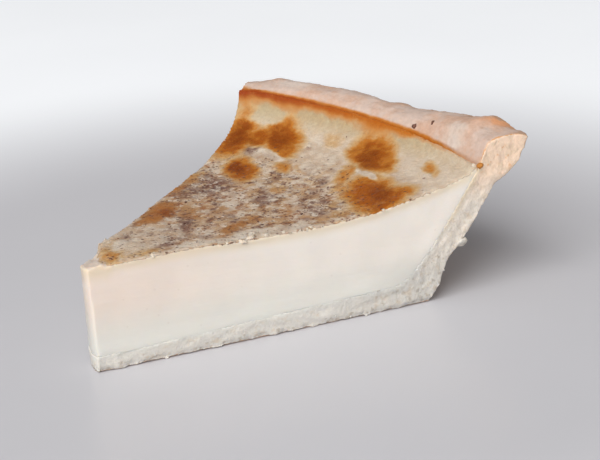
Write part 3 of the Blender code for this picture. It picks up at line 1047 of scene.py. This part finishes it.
class PIE_OT_crumbs(bpy.types.Operator):
    """Leaves crumbs of pastry on the cuts and along the foot of the crust"""

    bl_idname = "pie.crumbs"
    bl_label = "Crumbs"

    def execute(self, context):
        pie = context.scene.pie_slice
        dice = random.Random(SEED + 1)
        crust = bpy.data.objects["pastry_crust"]

        def chance(place, normal):
            on_cut = fade_mm(from_cut(place), 1.6, 0.9) * fade(abs(normal.y), 0.2, 0.5)
            coarse = fade_mm(from_middle(place), 40, 88) * fade_mm(place.z, 24, 10)
            low = fade_mm(place.z, 2, 0.8)
            # A few all over the cuts, more beside the crust and along the foot
            return on_cut * (0.1 + 0.5 * coarse + 0.4 * low)

        spots = scatter(crust, pie.spice.crumbs, pie.spice.crumb, chance, dice, spread=0.4)
        spots.append((WALL_CRUMB, CUT_WAYS[0], WALL_CRUMB_LENGTH))
        spots.append((BROWN_CRUMB, UP, BROWN_CRUMB_LENGTH))
        shapes = chips("crumb", dice, count=5, finer=2, flatness=0.6)
        piece = strew("pastry_crumbs", shapes, spots, dice, sink=0.2)
        painted = []
        for vert in piece.data.vertices:
            browned = fade_mm((vert.co - BROWN_CRUMB).length, 2, 1.5)
            # A share of the moist colour, which makes the crumb on the wall paler
            damp_and_shade = 0.5 * fade_mm((vert.co - WALL_CRUMB).length, 4, 3)
            painted.append({"cut": 1.0 - browned, "toasted": browned, "soaked": damp_and_shade})
        paint(piece, painted)
        hand_over(piece, crust.data.materials[0], "pastry")
        return {"FINISHED"}


FAR_OFF = 100.0  # mm, beyond the reach of the line along the crust


class PIE_OT_scraps(bpy.types.Operator):
    """Leaves scraps of custard along the top of the cuts, most of them at the front one"""

    bl_idname = "pie.scraps"
    bl_label = "Scraps of custard"

    def execute(self, context):
        pie = context.scene.pie_slice
        dice = random.Random(SEED + 2)
        custard = bpy.data.objects["custard_fill"]

        def chance(place, normal):
            at_edge = fade_mm(from_cut(place), 1.2, 0.2) * fade(normal.z, 0.2, 0.7)
            middling = fade_mm(from_middle(place), 12, 20) * fade_mm(from_middle(place), 85, 60)
            return at_edge * (0.1 + 0.9 * middling)

        spots = scatter(custard, pie.spice.scraps, pie.spice.scrap, chance, dice)
        spots += [drop(*scrap) for scrap in SCRAPS]
        shapes = chips("scrap", dice, count=4, finer=2, flatness=0.4)
        piece = strew("custard_scraps", shapes, spots, dice, sink=0.12)
        # The scraps take painted shade: part of the darker ledge colour, and a darker tone
        shares = {"skin": 0.2, "near_top": 1.0, "ledge": 0.5, "loose": 1.0, "to_join": FAR_OFF}
        paint(piece, [shares] * len(piece.data.vertices))
        hand_over(piece, custard.data.materials[0], "custard")
        return {"FINISHED"}


class PIE_OT_stage(bpy.types.Operator):
    """Sets the plain floor, the soft studio light and the camera"""

    bl_idname = "pie.stage"
    bl_label = "Floor, light and camera"

    def execute(self, context):
        sizes = context.scene.pie_slice.stage
        set_floor(sizes)
        set_lights(sizes)
        set_camera()
        return {"FINISHED"}


FLOOR_SIZE = 8.0  # wide enough to fill the view
FLOOR_DROP = 0.05 * MM  # below the slice, so that the two share no surface


def set_floor(sizes):
    bpy.ops.object.select_all(action="DESELECT")
    bpy.ops.mesh.primitive_plane_add(size=FLOOR_SIZE, location=(0.0, 0.0, -FLOOR_DROP))
    floor = bpy.context.object
    floor.name = "floor"
    look = Look("floor")
    # Painted shade round the slice and painted light further off, with a painted glow on the far floor
    away = look.vector("LENGTH", look.place)
    share = look.fade(away, sizes.near_reach / MM, sizes.far_reach / MM)
    tone = look.mix(sizes.near, sizes.far, share)
    tone = look.shade(tone, look.cloud((90, 3), 0.3, 0.7, 0.99, 1.01))
    floor.data.materials.append(look.dress({
        "Base Color": tone,
        "Roughness": 0.3,
        "Specular IOR Level": 0.35,
        "Emission Color": tone,
        "Emission Strength": look.product(share, sizes.glow),
    }))


def direction(azimuth, elevation):
    """The way to something, in degrees: azimuth 0 is in front, at -Y, and 90 is at +X."""
    turn, rise = math.radians(azimuth), math.radians(elevation)
    flat = math.cos(rise)
    return Vector((math.sin(turn) * flat, -math.cos(turn) * flat, math.sin(rise)))


SKY_TINT = (0.96, 0.965, 1.0)
LIGHT_TINT = (1.0, 0.98, 0.95)


def area_light(name, away, distance, size, power):
    """A square soft light that looks at the slice."""
    lamp = bpy.data.lights.new(name, "AREA")
    lamp.size = size
    lamp.energy = power
    lamp.color = LIGHT_TINT
    holder = add_object(name, lamp)
    holder.location = away * distance
    holder.rotation_euler = away.to_track_quat("Z", "Y").to_euler()


def set_lights(sizes):
    world = bpy.data.worlds.new("studio")
    bpy.context.scene.world = world
    world.use_nodes = True
    background = world.node_tree.nodes["Background"].inputs
    background["Color"].default_value = opaque(SKY_TINT)
    background["Strength"].default_value = sizes.sky
    area_light("window", direction(-75.0, 48.0), distance=6.0, size=5.0, power=sizes.window)
    area_light("fill", direction(-52.0, 18.0), distance=7.0, size=4.5, power=sizes.fill)
    bpy.context.scene.view_settings.view_transform = "Standard"


# The angles in degrees, the lens and its sensor in mm
CAMERA_AZIMUTH = -46.26
CAMERA_ELEVATION = 19.5
CAMERA_ROLL = -2.51
CAMERA_DISTANCE = 417.95 * MM
CAMERA_LENS = 102.0
CAMERA_SENSOR = 36.0
CAMERA_CLIP = (0.01, 100.0)
LOOK_AT = Vector((55.0, 0.0, 15.0)) * MM  # from the middle of the pie
LOOK_RIGHT = 16.1 * MM  # how far the camera stands beside and above its line to that point
LOOK_UP = 5.2 * MM


def set_camera():
    lens = bpy.data.cameras.new("camera")
    lens.lens = CAMERA_LENS
    lens.sensor_width = CAMERA_SENSOR
    lens.clip_start, lens.clip_end = CAMERA_CLIP
    camera = add_object("camera", lens)
    back = direction(CAMERA_AZIMUTH, CAMERA_ELEVATION)
    level = UP.cross(back).normalized()
    upright = back.cross(level)
    roll = math.radians(CAMERA_ROLL)
    right = level * math.cos(roll) + upright * math.sin(roll)
    up = upright * math.cos(roll) - level * math.sin(roll)
    at = PIE_MIDDLE + LOOK_AT + back * CAMERA_DISTANCE + right * LOOK_RIGHT + up * LOOK_UP
    camera.matrix_world = Matrix.Translation(at) @ Matrix((right, up, back)).transposed().to_4x4()
    bpy.context.scene.camera = camera


class PIE_PT_slice(bpy.types.Panel):
    bl_label = "Custard pie slice"
    bl_space_type = "VIEW_3D"
    bl_region_type = "UI"
    bl_category = "Pie"

    def draw(self, context):
        pie = context.scene.pie_slice
        for step in STEPS:
            self.layout.operator(step.bl_idname)
        for sizes in (pie.custard, pie.pastry, pie.spice, pie.stage):
            box = self.layout.box()
            for name in type(sizes).__annotations__:
                box.prop(sizes, name)


STEPS = (PIE_OT_custard, PIE_OT_pastry, PIE_OT_nutmeg, PIE_OT_crumbs, PIE_OT_scraps, PIE_OT_stage)
CLASSES = (CustardSizes, PastrySizes, SpiceSizes, StageSizes, PieSlice, *STEPS, PIE_PT_slice)


def register():
    for kind in CLASSES:
        bpy.utils.register_class(kind)
    bpy.types.Scene.pie_slice = bpy.props.PointerProperty(type=PieSlice)


def unregister():
    del bpy.types.Scene.pie_slice
    for kind in reversed(CLASSES):
        bpy.utils.unregister_class(kind)


def main():
    register()
    bpy.ops.pie.custard()
    bpy.ops.pie.pastry()
    bpy.ops.pie.nutmeg()
    bpy.ops.pie.crumbs()
    bpy.ops.pie.scraps()
    bpy.ops.pie.stage()


if __name__ == "__main__":
    main()
